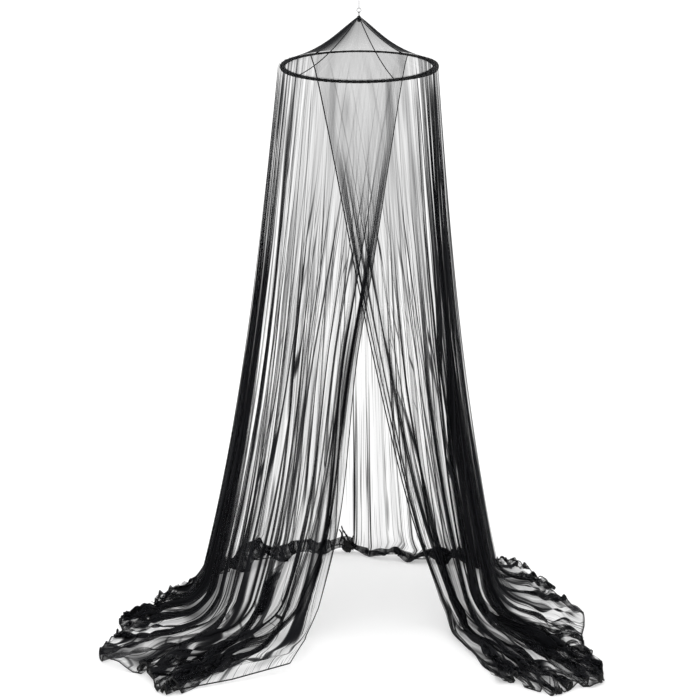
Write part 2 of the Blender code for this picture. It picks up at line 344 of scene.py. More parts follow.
# The cone: its tip, its sag, its grid, and its rim, a little outside the rod's middle and over its top
CONE_SEED = 5
CONE_TIP_R = 0.010
CONE_SAG = 0.010
CONE_COLUMNS = 720
CONE_ROWS = 40
CONE_RIM_OUT = 0.0005
CONE_RIM_OVER = 0.0014

# The cone's pleats, and how it dips between the cords, deepest two thirds of the way out
CONE_PLEATS = 60
CONE_PLEAT_HIGH = 0.0008
CONE_PLEAT_ROUND = 0.6
CONE_PLEAT_SIZE = (0.8, 0.5, (6, 3, 9), (0.2, 1.5))
CONE_DIP = 0.026
CONE_DIP_CURVE = 6.75
CONE_DIP_GROWTH = 1.5

# Where the cone's net is drawn together: the angle, the half width in degrees and how strongly. Its gathers,
# their shrinking towards the tip, their limits and how much darker the crowds make them, and then the fine
# steps round it, its cloth's size, how its rim darkens and how uneven it is
CONE_CROWDS = ((37, 4, 26.0), (55, 22, 1.5), (323, 4, 20.0), (331, 9, 2.5), (300, 26, 2.0))
CONE_FULL = 23.0
CONE_SHRINK = (0.35, 0.65)
CONE_GATHERS = (1.0, 40.0)
CONE_CROWD_DARK = 0.35
CONE_STEPS = 3601
CONE_CUT = (2.6, 0.36)
CONE_EDGE = (60, 0.4)
CONE_EVEN = 0.10

# The hoop's sleeve: thicker at the back than at the front, bunched at the two sides, with fine swells
SLEEVE_POINTS = 720
SLEEVE_THICK = (0.96, 0.28)
SLEEVE_BUNCH = (1.1, 0.25, 5)
SLEEVE_SWELLS = ((180, 0.05, 0), (61, 0.06, 1))

# The cords: angle from the front and how far each sags, their ends at the knot and inside the hoop, and the
# swells of their strands
CORDS = (
    ("cord_front_left", -36.5, 0.004),
    ("cord_front_right", 35.5, 0.004),
    ("cord_back_right", 149, 0.012),
    ("cord_back_left", 237, 0.016),
)
CORD_R = 0.0022
CORD_POINTS = 90
CORD_START_R = 0.0100
CORD_START_RISE = 0.0108
CORD_END_IN = 0.0014
CORD_SLIM = 0.9
CORD_SWELLS = ((42, 0.10, 0),)

# The tip: the knot's wraps of tape against the knot's own size, the loop over it, and the hook's wire
KNOT_WRAPS = 5
KNOT_WIDE = 0.72
KNOT_BULGE = 0.85
KNOT_END = 0.05
KNOT_HALF = 1.15
KNOT_TAPE = 0.27
KNOT_MIDDLE = 1.5
LOOP_R = 0.0075
LOOP_TAPE_R = 0.0016
LOOP_SUNK = 0.001
WIRE_R = 0.0015

# The hem knot: its place over the floor, its size, its creases (how deep each is, and how fast it runs
# across, round and up the knot) and its loose strands, with their taper, how much and how often they swell
# and how fast they bend, and how far each leans right and forward, its height and its bow
HEM_KNOT_RISE = 0.031
HEM_KNOT_R = 0.026
HEM_KNOT_DEPTH = 0.8
HEM_KNOT_FULL = 0.92
HEM_KNOT_CREASES = ((0.16, 3, 0, 5), (0.14, 0, 5, 7), (0.06, 0, 17, -11))
HEM_TAIL_R = 0.0060
HEM_TAIL_RISE = 0.006
HEM_TAIL_BELOW = 0.004
HEM_TAIL_FORM = (0.6, 0.2, 30, 5)
HEM_TAILS = (
    ("tail", -0.026, 0.046, 1.0, 0.006),
    ("strand_left", -0.045, 0.020, 0.78, -0.004),
    ("strand_right", 0.030, 0.020, 0.52, 0.005),
)

# The photograph's viewpoint
EYE = Vector((-0.034, -3.850, FLOOR_Z + 1.302))
EYE_PITCH = radians(4.922)
LENS = 50.92
SENSOR = 36

# The stage: a pale floor that glows a little, a white room and a weak soft light
FLOOR_SIZE = 60
FLOOR_DROP = 0.0002
FLOOR_TONE = 0.72
FLOOR_GLOW = 0.335
ROOM_LIGHT = 1.2
KEY_ENERGY = 0.25
KEY_ANGLE = radians(30)
KEY_TURN = (radians(28), radians(-18), 0)
VEIL_DEPTH = 48

# The net's material: its unevenness at three sizes, as waves to the metre across and along the cloth and the
# strength of each, and the fine dark lines of its gathers, with how wide and how deep each kind is
NET_ROUGH = 0.7
NET_SHEEN = 0.12
NET_TONES = (0.55, 1.6)
NET_SIZES = ((13.0, 0.5, 0.8), (52.0, 0.8, 1.1), (190.0, 1.6, 0.9))
NET_LINES = ((11.0, 0.22, 0.024, 60.0), (33.0, 0.40, 0.034, 30.0), (84.0, 0.70, 0.050, 12.0))
LINE_SPOTS = (0.46, 0.60)
UNEVEN_POWER = 16.0
HEM_LAYERS = 40.0


# ---------------------------------------------------------------- shapes

def station(column, u):
    """A column of the station table at each u, the share of the way along the cloth, on a smooth curve."""
    values = np.array([row[STATION_COLUMNS.index(column)] for row in STATIONS], float)
    slopes = np.gradient(values)
    place = u * (len(STATIONS) - 1)
    i = np.clip(place.astype(int), 0, len(STATIONS) - 2)
    f = place - i
    rise = f * f * (3 - 2 * f)
    return (values[i] * (1 - rise) + values[i + 1] * rise
            + slopes[i] * f * (1 - f) ** 2 - slopes[i + 1] * f * f * (1 - f))


def softened(values, half):
    """A run of values with its corners rounded over half a window on each side."""
    kernel = np.hanning(2 * half + 3)[1:-1]
    before = 2 * values[0] - values[half:0:-1]
    after = 2 * values[-1] - values[-2:-2 - half:-1]
    padded = np.concatenate([before, values, after])
    return np.convolve(padded, kernel / kernel.sum(), "valid")


def waves(table, u):
    """The sum of the waves in a table of (count, size, phase)."""
    return sum(size * np.sin(2 * pi * count * u + phase) for count, size, phase in table)


def smooth(x):
    """0 to 1 with soft ends."""
    x = np.clip(x, 0, 1)
    return x * x * (3 - 2 * x)


def ramp(x, start, run):
    """A soft step, 0 up to its start and 1 from the end of its run."""
    return smooth((x - start) / run)


def hump(x, centre, reach, power=2):
    """1 at a centre, and about a third at its reach on both sides."""
    return np.exp(-((x - centre) / reach) ** power)


def wavy(rng, count, low, high):
    """A function of one share, about 0 on the whole and 1 high: a sum of waves at uneven counts."""
    counts = rng.uniform(low, high, count)
    phases = rng.uniform(0, 2 * pi, count)
    return lambda x: sum(np.sin(2 * pi * n * x + p) for n, p in zip(counts, phases)) / (count / 2) ** 0.5


def wandering(rng, x, mean, swing, counts, limits):
    """Sizes that wander about a mean along x, within their limits."""
    return np.clip(mean + swing * wavy(rng, *counts)(x), *limits)


def wall_points(u, t):
    """The curtain without folds, t from 0 at the hoop to 1 at the floor."""
    hoop_deg = station("hoop_deg", u)
    deg = hoop_deg + (station("foot_deg", u) - hoop_deg) * t ** TWIST_EASE
    r = CURTAIN_R + (station("foot_r", u) - CURTAIN_R) * (FLARE * t + (1 - FLARE) * t ** 3)
    lap = LAP_DEG / (STATIONS[-1][0] - STATIONS[0][0])
    side = ramp(u, lap, 1 - 2 * lap)
    r = r + LAP_GAP[0] + (LAP_GAP[0] + LAP_GAP[1] * t) * (2 * side - 1)
    z = CURTAIN_TOP + (FLOOR_Z + NET_T / 2 - CURTAIN_TOP) * t
    a = np.radians(deg)
    return np.stack([r * np.sin(a), -r * np.cos(a), z + 0 * a], axis=-1)


def unit(v):
    """Vectors of length 1."""
    return v / np.maximum(np.linalg.norm(v, axis=-1, keepdims=True), 1e-9)


def curtain_base(u, v):
    """The curtain's middle surface, its outward normal, the half depth and phase of its folds, and how far
    the bend at the floor and the train have come, for grids u and v."""
    t_corner = 1 - CORNER / (CURTAIN_TOP - FLOOR_Z)
    phase = 2 * pi * FOLDS * (u + waves(WARP, u))
    foot = wall_points(u, np.ones_like(u))
    hem = np.stack([station("hem_x", u), station("hem_y", u), 0 * u + FLOOR_Z + NET_T / 2], axis=-1)
    run = SCALLOP * sum(size * np.sin(phase * rate + shift) for rate, size, shift in SCALLOP_WAVES)
    hem = hem + unit(hem - foot) * run[..., None]
    bend = np.minimum(0.5, CORNER / np.linalg.norm(hem - foot, axis=-1))[..., None]
    f_wall = np.clip(v / WALL_SHARE, 0, 1)
    f_corner = np.clip((v - WALL_SHARE) / CORNER_SHARE, 0, 1)
    f_train = np.clip((v - WALL_SHARE - CORNER_SHARE) / (1 - WALL_SHARE - CORNER_SHARE), 0, 1)
    t = t_corner * f_wall
    wall = wall_points(u, t)
    start = wall_points(u, t_corner + 0 * u)
    end = foot + (hem - foot) * bend
    c = f_corner[..., None]
    corner = (start * (1 - c) + foot * c) * (1 - c) + (foot * (1 - c) + end * c) * c
    train = foot + (hem - foot) * (bend + (1 - bend) * f_train[..., None])
    on_wall = (v <= WALL_SHARE)[..., None]
    on_train = (v > WALL_SHARE + CORNER_SHARE)[..., None]
    point = np.where(on_wall, wall, np.where(on_train, train, corner))
    flat = np.where(on_wall, wall, foot) * (1, 1, 0)
    turn = np.where(v <= WALL_SHARE, 0, f_corner)
    normal = unit(unit(flat) * np.cos(turn * pi / 2)[..., None]
                  + np.array((0, 0, 1)) * np.sin(turn * pi / 2)[..., None])
    depth = np.where(v <= WALL_SHARE, FOLD_TOP + (FOLD_FOOT - FOLD_TOP) * t ** FOLD_GROWTH,
                     np.where(f_train > 0, FOLD_HEM * (1 - FOLD_FADE * f_train),
                              FOLD_FOOT * (1 - f_corner) + FOLD_HEM * f_corner))
    fold = station("fold", u)
    depth = depth * (fold + (1 - fold) * np.minimum(1, FOLD_EVENED * v) ** 2) * (1 + waves(UNEVEN, u))
    return point, normal, depth, phase, turn, f_train


def grid_object(name, points, uv, attributes, closed=False):
    """A single sheet of quads over a grid of points, with its cloth coordinates and its attributes, each
    given at the points or between their columns."""
    rows, cols = points.shape[:2]
    index = np.arange(rows * cols).reshape(rows, cols)
    right = np.roll(index, -1, axis=1) if closed else index[:, 1:]
    left = index if closed else index[:, :-1]
    quads = np.stack([left[:-1], left[1:], right[1:], right[:-1]], axis=-1).reshape(-1, 4)
    mesh = bpy.data.meshes.new(name)
    mesh.vertices.add(rows * cols)
    mesh.vertices.foreach_set("co", points.reshape(-1).astype(np.float32))
    mesh.loops.add(quads.size)
    mesh.loops.foreach_set("vertex_index", quads.reshape(-1).astype(np.int32))
    mesh.polygons.add(len(quads))
    mesh.polygons.foreach_set("loop_start", (np.arange(len(quads)) * 4).astype(np.int32))
    layer = mesh.uv_layers.new(name="Cloth")
    corners = uv.reshape(-1, 2)[quads.reshape(-1)].copy()
    if closed:
        wrapped = (np.arange(len(quads)) % cols == cols - 1).repeat(4)
        width = uv[0, 1, 0] - uv[0, 0, 0]
        last = wrapped & np.isin(np.arange(len(corners)) % 4, (2, 3))
        corners[last, 0] = uv[0, -1, 0] + width
    layer.data.foreach_set("uv", corners.reshape(-1).astype(np.float32))
    for key, values in attributes.items():
        by_corner = values.shape[1] == cols - 1
        if by_corner:
            values = np.stack([values[:-1], values[1:], values[1:], values[:-1]], axis=-1)
        data = mesh.attributes.new(key, "FLOAT", "CORNER" if by_corner else "POINT")
        data.data.foreach_set("value", values.reshape(-1).astype(np.float32))
    mesh.update()
    mesh.validate()
    mesh.shade_smooth()
    obj = bpy.data.objects.new(name, mesh)
    bpy.context.scene.collection.objects.link(obj)
    return obj


def between(values):
    """A grid's values midway between its columns."""
    return (values[:, 1:] + values[:, :-1]) / 2


def gather_of(points, across, cloth, low=0.9, high=70.0):
    """How many thicknesses of flat cloth lie between two columns, seen square on: the cloth's own width over
    the width that it covers."""
    cover = np.abs(np.sum((points[:, 1:] - points[:, :-1]) * between(across), axis=-1))
    return np.clip(np.diff(cloth, axis=1) / np.maximum(cover, 1e-6), low, high)


# ---------------------------------------------------------------- materials

def add_node(tree, kind, inputs=None, **settings):
    """A node with its settings and its inputs, each a value or an output to link."""
    node = tree.nodes.new(kind)
    for key, value in settings.items():
        setattr(node, key, value)
    for key, value in (inputs or {}).items():
        if isinstance(value, bpy.types.NodeSocket):
            tree.links.new(value, node.inputs[key])
        else:
            node.inputs[key].default_value = value
    return node


def group_tree(name, inputs, outputs):
    """A shader node group with named inputs and outputs, and its two end nodes."""
    tree = bpy.data.node_groups.new(name, "ShaderNodeTree")
    for label, kind, default in inputs:
        socket = tree.interface.new_socket(label, in_out="INPUT", socket_type=kind)
        if default is not None:
            socket.default_value = default
    for label, kind in outputs:
        tree.interface.new_socket(label, in_out="OUTPUT", socket_type=kind)
    return tree, tree.nodes.new("NodeGroupInput"), tree.nodes.new("NodeGroupOutput")


def veil_group():
    """How much of the view the net hides: its open mesh, as many times over as it is gathered."""
    tree, put, out = group_tree(
        "Net Veil",
        [("Cloth", "NodeSocketVector", None), ("Gather", "NodeSocketFloat", 1.0),
         ("Edge", "NodeSocketFloat", 0.0), ("Open", "NodeSocketFloat", 0.9),
         ("Unevenness", "NodeSocketFloat", 0.5), ("Place", "NodeSocketFloat", 0.0),
         ("Lined", "NodeSocketFloat", 0.0)],
        [("Alpha", "NodeSocketFloat"), ("Shade", "NodeSocketFloat")])
    math = "ShaderNodeMath"
    total = None
    for across, along, share in NET_SIZES:
        where = add_node(tree, "ShaderNodeVectorMath", {0: put.outputs["Cloth"], 1: (across, along, 1.0)},
                         operation="MULTIPLY")
        fine = add_node(tree, "ShaderNodeTexNoise",
                        {"Vector": where.outputs[0], "Scale": 1.0, "Detail": 1.5, "Roughness": 0.6})
        centred = add_node(tree, math, {0: fine.outputs["Fac"], 1: -0.5}, operation="ADD")
        total = add_node(tree, math, {0: centred.outputs[0], 1: share, 2: total.outputs[0] if total else 0.0},
                         operation="MULTIPLY_ADD")
    swing = add_node(tree, math, {0: total.outputs[0], 1: put.outputs["Unevenness"]}, operation="MULTIPLY")
    power = add_node(tree, math, {0: swing.outputs[0], 1: UNEVEN_POWER}, operation="MULTIPLY")
    streak = add_node(tree, math, {0: 2.0, 1: power.outputs[0]}, operation="POWER")
    layers = add_node(tree, math, {0: put.outputs["Gather"], 1: streak.outputs[0]}, operation="MULTIPLY")
    split = add_node(tree, "ShaderNodeSeparateXYZ", {0: put.outputs["Cloth"]})
    here = add_node(tree, "ShaderNodeCombineXYZ", {"X": put.outputs["Place"], "Y": split.outputs["Y"]})
    for across, along, half, deep in NET_LINES:
        where = add_node(tree, "ShaderNodeVectorMath", {0: here.outputs[0], 1: (across, along, 1.0)},
                         operation="MULTIPLY")
        course = add_node(tree, "ShaderNodeTexNoise",
                          {"Vector": where.outputs[0], "Scale": 1.0, "Detail": 0.0})
        off = add_node(tree, math, {0: course.outputs["Fac"], 1: 0.5}, operation="SUBTRACT")
        away = add_node(tree, math, {0: off.outputs[0]}, operation="ABSOLUTE")
        line = add_node(tree, "ShaderNodeMapRange",
                        {"Value": away.outputs[0], "From Min": 0.0, "From Max": half,
                         "To Min": deep, "To Max": 0.0}, interpolation_type="SMOOTHSTEP")
        spot = add_node(tree, "ShaderNodeVectorMath",
                        {0: here.outputs[0], 1: (across * 0.8, along * 4.0, 1.0), 2: (3.7, 1.9, across)},
                        operation="MULTIPLY_ADD")
        some = add_node(tree, "ShaderNodeTexNoise", {"Vector": spot.outputs[0], "Scale": 1.0, "Detail": 1.0})
        much = add_node(tree, "ShaderNodeMapRange",
                        {"Value": some.outputs["Fac"], "From Min": LINE_SPOTS[0], "From Max": LINE_SPOTS[1]})
        faded = add_node(tree, math, {0: line.outputs[0], 1: much.outputs[0]}, operation="MULTIPLY")
        layers = add_node(tree, math, {0: faded.outputs[0], 1: put.outputs["Lined"], 2: layers.outputs[0]},
                          operation="MULTIPLY_ADD")
    edged = add_node(tree, math, {0: put.outputs["Edge"], 1: HEM_LAYERS, 2: layers.outputs[0]},
                     operation="MULTIPLY_ADD")
    through = add_node(tree, math, {0: put.outputs["Open"], 1: edged.outputs[0]}, operation="POWER")
    alpha = add_node(tree, math, {0: 1.0, 1: through.outputs[0]}, operation="SUBTRACT", use_clamp=True)
    tree.links.new(alpha.outputs[0], out.inputs["Alpha"])
    tree.links.new(fine.outputs["Fac"], out.inputs["Shade"])
    return tree


def principled(name, color, roughness, metallic=0.0):
    """A Principled material; returns it with its tree and its shader."""
    mat = bpy.data.materials.new(name)
    mat.use_nodes = True
    shader = mat.node_tree.nodes["Principled BSDF"]
    shader.inputs["Base Color"].default_value = (*color, 1.0)
    shader.inputs["Roughness"].default_value = roughness
    shader.inputs["Metallic"].default_value = metallic
    return mat, mat.node_tree, shader


def net_material(name, color, open_share, unevenness):
    """Black net: matt thread, see-through between, darker where it is gathered or hemmed."""
    mat, tree, shader = principled(name, color, NET_ROUGH)
    cloth = add_node(tree, "ShaderNodeUVMap", uv_map="Cloth")
    read = {key: add_node(tree, "ShaderNodeAttribute", attribute_name=key).outputs["Fac"]
            for key in ("gather", "edge", "uneven", "place", "lined")}
    swing = add_node(tree, "ShaderNodeMath", {0: read["uneven"], 1: unevenness}, operation="MULTIPLY")
    veil = add_node(tree, "ShaderNodeGroup", node_tree=shared("Net Veil", veil_group))
    for label, value in (("Cloth", cloth.outputs["UV"]), ("Unevenness", swing.outputs[0]),
                         ("Gather", read["gather"]), ("Edge", read["edge"]),
                         ("Place", read["place"]), ("Lined", read["lined"])):
        tree.links.new(value, veil.inputs[label])
    veil.inputs["Open"].default_value = open_share
    tree.links.new(veil.outputs["Alpha"], shader.inputs["Alpha"])
    tone = add_node(tree, "ShaderNodeMapRange",
                    {"Value": veil.outputs["Shade"], "To Min": NET_TONES[0], "To Max": NET_TONES[1]})
    tint = add_node(tree, "ShaderNodeMix", {"Factor": 1.0, "A": (*color, 1.0), "B": tone.outputs[0]},
                    data_type="RGBA", blend_type="MULTIPLY")
    tree.links.new(tint.outputs["Result"], shader.inputs["Base Color"])
    shader.inputs["Specular IOR Level"].default_value = NET_SHEEN
    return mat


def twist_group():
    """Threads that wind round a cord, sleeve or hem, from its UV map: along it, then round it, coloured with
    painted shade in their grooves and a painted highlight on their crests.
    """
    tree, put, out = group_tree(
        "Thread Twist",
        [("Along and Round", "NodeSocketVector", None), ("Turns", "NodeSocketFloat", 60.0),
         ("Groove Shade", "NodeSocketColor", (0.004, 0.004, 0.004, 1)),
         ("Light", "NodeSocketColor", (0.03, 0.03, 0.03, 1))],
        [("Color", "NodeSocketColor"), ("Height", "NodeSocketFloat"), ("Rough", "NodeSocketFloat")])
    split = add_node(tree, "ShaderNodeSeparateXYZ", {0: put.outputs[0]})
    math = "ShaderNodeMath"
    wound = add_node(tree, math, {0: split.outputs["X"], 1: put.outputs["Turns"], 2: split.outputs["Y"]},
                     operation="MULTIPLY_ADD")
    angle = add_node(tree, math, {0: wound.outputs[0], 1: 2 * pi}, operation="MULTIPLY")
    wave = add_node(tree, math, {0: angle.outputs[0]}, operation="SINE")
    lint = add_node(tree, "ShaderNodeTexNoise",
                    {"Vector": put.outputs[0], "Scale": 90.0, "Detail": 3.0, "Roughness": 0.6})
    height = add_node(tree, math, {0: wave.outputs[0], 1: 0.35, 2: lint.outputs["Fac"]},
                      operation="MULTIPLY_ADD")
    # Painted shade makes the colour darkest in the grooves between the strands, and a painted highlight makes
    # it lightest on their crests, with some random tone.
    color = add_node(tree, "ShaderNodeMix", {"Factor": height.outputs[0], "A": put.outputs["Groove Shade"],
                                             "B": put.outputs["Light"]}, data_type="RGBA")
    rough = add_node(tree, "ShaderNodeMapRange", {"Value": height.outputs[0], "To Min": 0.85, "To Max": 0.6})
    tree.links.new(color.outputs["Result"], out.inputs["Color"])
    tree.links.new(height.outputs[0], out.inputs["Height"])
    tree.links.new(rough.outputs[0], out.inputs["Rough"])
    return tree


def shared(name, build):
    """The node group of this name, built the first time that a material asks for it."""
    return bpy.data.node_groups.get(name) or build()


def thread_material(name, turns, light, bump=0.3, distance=0.0004):
    """A black textile cord, sleeve or rolled hem, with painted shade in the grooves of its twist and a
    painted highlight on the crests.
    """
    mat, tree, shader = principled(name, (0.01, 0.01, 0.01), 0.75)
    uv = add_node(tree, "ShaderNodeUVMap", uv_map="Cloth")
    twist = add_node(tree, "ShaderNodeGroup", node_tree=shared("Thread Twist", twist_group))
    tree.links.new(uv.outputs["UV"], twist.inputs[0])
    twist.inputs["Turns"].default_value = turns
    # The light colour is the painted highlight on the crests of the twist.
    twist.inputs["Light"].default_value = (light, light, light, 1)
    bumped = add_node(tree, "ShaderNodeBump", {"Height": twist.outputs["Height"], "Strength": bump,
                                               "Distance": distance})
    tree.links.new(twist.outputs["Color"], shader.inputs["Base Color"])
    tree.links.new(twist.outputs["Rough"], shader.inputs["Roughness"])
    tree.links.new(bumped.outputs[0], shader.inputs["Normal"])
    shader.inputs["Specular IOR Level"].default_value = 0.2
    return mat


def steel_material():
    """Zinc-plated wire, with a little cloudiness."""
    mat, tree, shader = principled("plated steel", (0.56, 0.56, 0.57), 0.28, 1.0)
    where = add_node(tree, "ShaderNodeTexCoord")
    cloud = add_node(tree, "ShaderNodeTexNoise",
                     {"Vector": where.outputs["Object"], "Scale": 260.0, "Detail": 4.0})
    rough = add_node(tree, "ShaderNodeMapRange",
                     {"Value": cloud.outputs["Fac"], "To Min": 0.18, "To Max": 0.45})
    tone = add_node(tree, "ShaderNodeMix", {"Factor": cloud.outputs["Fac"], "A": (0.24, 0.24, 0.25, 1),
                                            "B": (0.48, 0.48, 0.49, 1)}, data_type="RGBA")
    tree.links.new(rough.outputs[0], shader.inputs["Roughness"])
    tree.links.new(tone.outputs["Result"], shader.inputs["Base Color"])
    return mat


# ---------------------------------------------------------------- rods and hems

def tube_object(name, path, radius, sides, closed=False):
    """A round rod along a path, closed at its ends or a ring, with one radius or one for each point, and a UV
    map of metres along it and turns round it."""
    path = np.asarray(path, float)
    count = len(path)
    radius = np.broadcast_to(np.asarray(radius, float), (count,))
    if closed:
        ahead = unit(np.roll(path, -1, axis=0) - np.roll(path, 1, axis=0))
    else:
        ahead = unit(np.gradient(path, axis=0))
    side = np.zeros_like(path)
    seed = np.array((0.0, 0.0, 1.0)) if abs(ahead[0][2]) < 0.9 else np.array((1.0, 0.0, 0.0))
    side[0] = unit(np.cross(ahead[0], seed))
    for i in range(1, count):
        side[i] = unit(side[i - 1] - ahead[i] * np.dot(side[i - 1], ahead[i]))
    up = np.cross(side, ahead)
    if closed:
        slip = np.arctan2(np.dot(side[-1], up[0]), np.dot(side[-1], side[0]))
        turn = -slip * np.arange(count) / count
        side, up = (side * np.cos(turn)[:, None] + up * np.sin(turn)[:, None],
                    up * np.cos(turn)[:, None] - side * np.sin(turn)[:, None])
    angle = 2 * pi * np.arange(sides) / sides
    rings = (path[:, None] + radius[:, None, None] * (side[:, None] * np.cos(angle)[None, :, None]
             + up[:, None] * np.sin(angle)[None, :, None]))
    index = np.arange(count * sides).reshape(count, sides)
    after = np.roll(index, -1, axis=0) if closed else index[1:]
    before = index if closed else index[:-1]
    quads = np.stack([before, np.roll(before, -1, axis=1), np.roll(after, -1, axis=1), after], axis=-1)
    faces = [tuple(int(k) for k in q) for q in quads.reshape(-1, 4)]
    if not closed:
        faces.append(tuple(int(k) for k in index[0][::-1]))
        faces.append(tuple(int(k) for k in index[-1]))
    mesh = bpy.data.meshes.new(name)
    mesh.from_pydata([tuple(p) for p in rings.reshape(-1, 3)], [], faces)
    run = np.concatenate([[0], np.cumsum(np.linalg.norm(np.diff(path, axis=0), axis=1))])
    uv = mesh.uv_layers.new(name="Cloth")
    loops = np.zeros(len(mesh.loops), np.int32)
    mesh.loops.foreach_get("vertex_index", loops)
    ring, spoke = loops // sides, loops % sides
    full = len(quads.reshape(-1, 4)) * 4
    place = np.arange(full) % 4
    wrap = np.zeros(len(loops), bool)
    wrap[:full] = (spoke[:full] == 0) & ((place == 1) | (place == 2))
    along = run[ring]
    if closed:
        step = run[1] - run[0]
        end = np.zeros(len(loops), bool)
        last = np.arange(full) >= full - 4 * sides
        end[:full] = (ring[:full] == 0) & ((place == 2) | (place == 3)) & last
        along = np.where(end, run[-1] + step, along)
    uv.data.foreach_set("uv", np.stack([along, (spoke + wrap * sides) / sides], axis=-1)
                        .reshape(-1).astype(np.float32))
    mesh.shade_smooth()
    obj = bpy.data.objects.new(name, mesh)
    bpy.context.scene.collection.objects.link(obj)
    return obj


def finish_piece(obj, mat, slot, *nodes):
    """Gives a piece its material, and lets it ride and stand for its nodes. Its slot is not used."""
    obj.data.materials.clear()
    obj.data.materials.append(mat)
    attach(obj, "root")
    if nodes:
        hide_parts(*nodes)
    return obj


def deselect_all():
    """Nothing selected, as before a new primitive."""
    for obj in bpy.context.selected_objects:
        obj.select_set(False)


# ---------------------------------------------------------------- settings

class CANOPY_PG_net(bpy.types.PropertyGroup):
    """Sizes and colour of the net."""
    columns: bpy.props.IntProperty(name="Columns", description="Columns of points round the curtain",
                                   default=1150, min=200, max=1160)
    wall_rows: bpy.props.IntProperty(name="Wall Rows", description="Rows of points down the hanging part",
                                     default=54, min=20, max=120)
    floor_rows: bpy.props.IntProperty(name="Floor Rows", description="Rows of points on the floor",
                                      default=45, min=10, max=80)
    color: bpy.props.FloatVectorProperty(name="Thread", description="Colour of the net's thread",
                                         subtype="COLOR", size=3, default=(0.0045, 0.0048, 0.0062))
    open_share: bpy.props.FloatProperty(name="Open Share", subtype="FACTOR", default=0.955, min=0.0, max=1.0,
                                        description="Light that one flat layer lets through")
    hem_r: bpy.props.FloatProperty(name="Hem", description="Half thickness of the rolled hem",
                                   subtype="DISTANCE", default=0.0022)


class CANOPY_PG_frame(bpy.types.PropertyGroup):
    """Sizes of the hoop and the cords."""
    sleeve_r: bpy.props.FloatProperty(name="Sleeve", description="Half thickness of the hoop in its sleeve",
                                      subtype="DISTANCE", default=HOOP_ROD_R)
    cord_r: bpy.props.FloatProperty(name="Cord", description="Half thickness of a cord",
                                    subtype="DISTANCE", default=CORD_R)


# ---------------------------------------------------------------- pieces

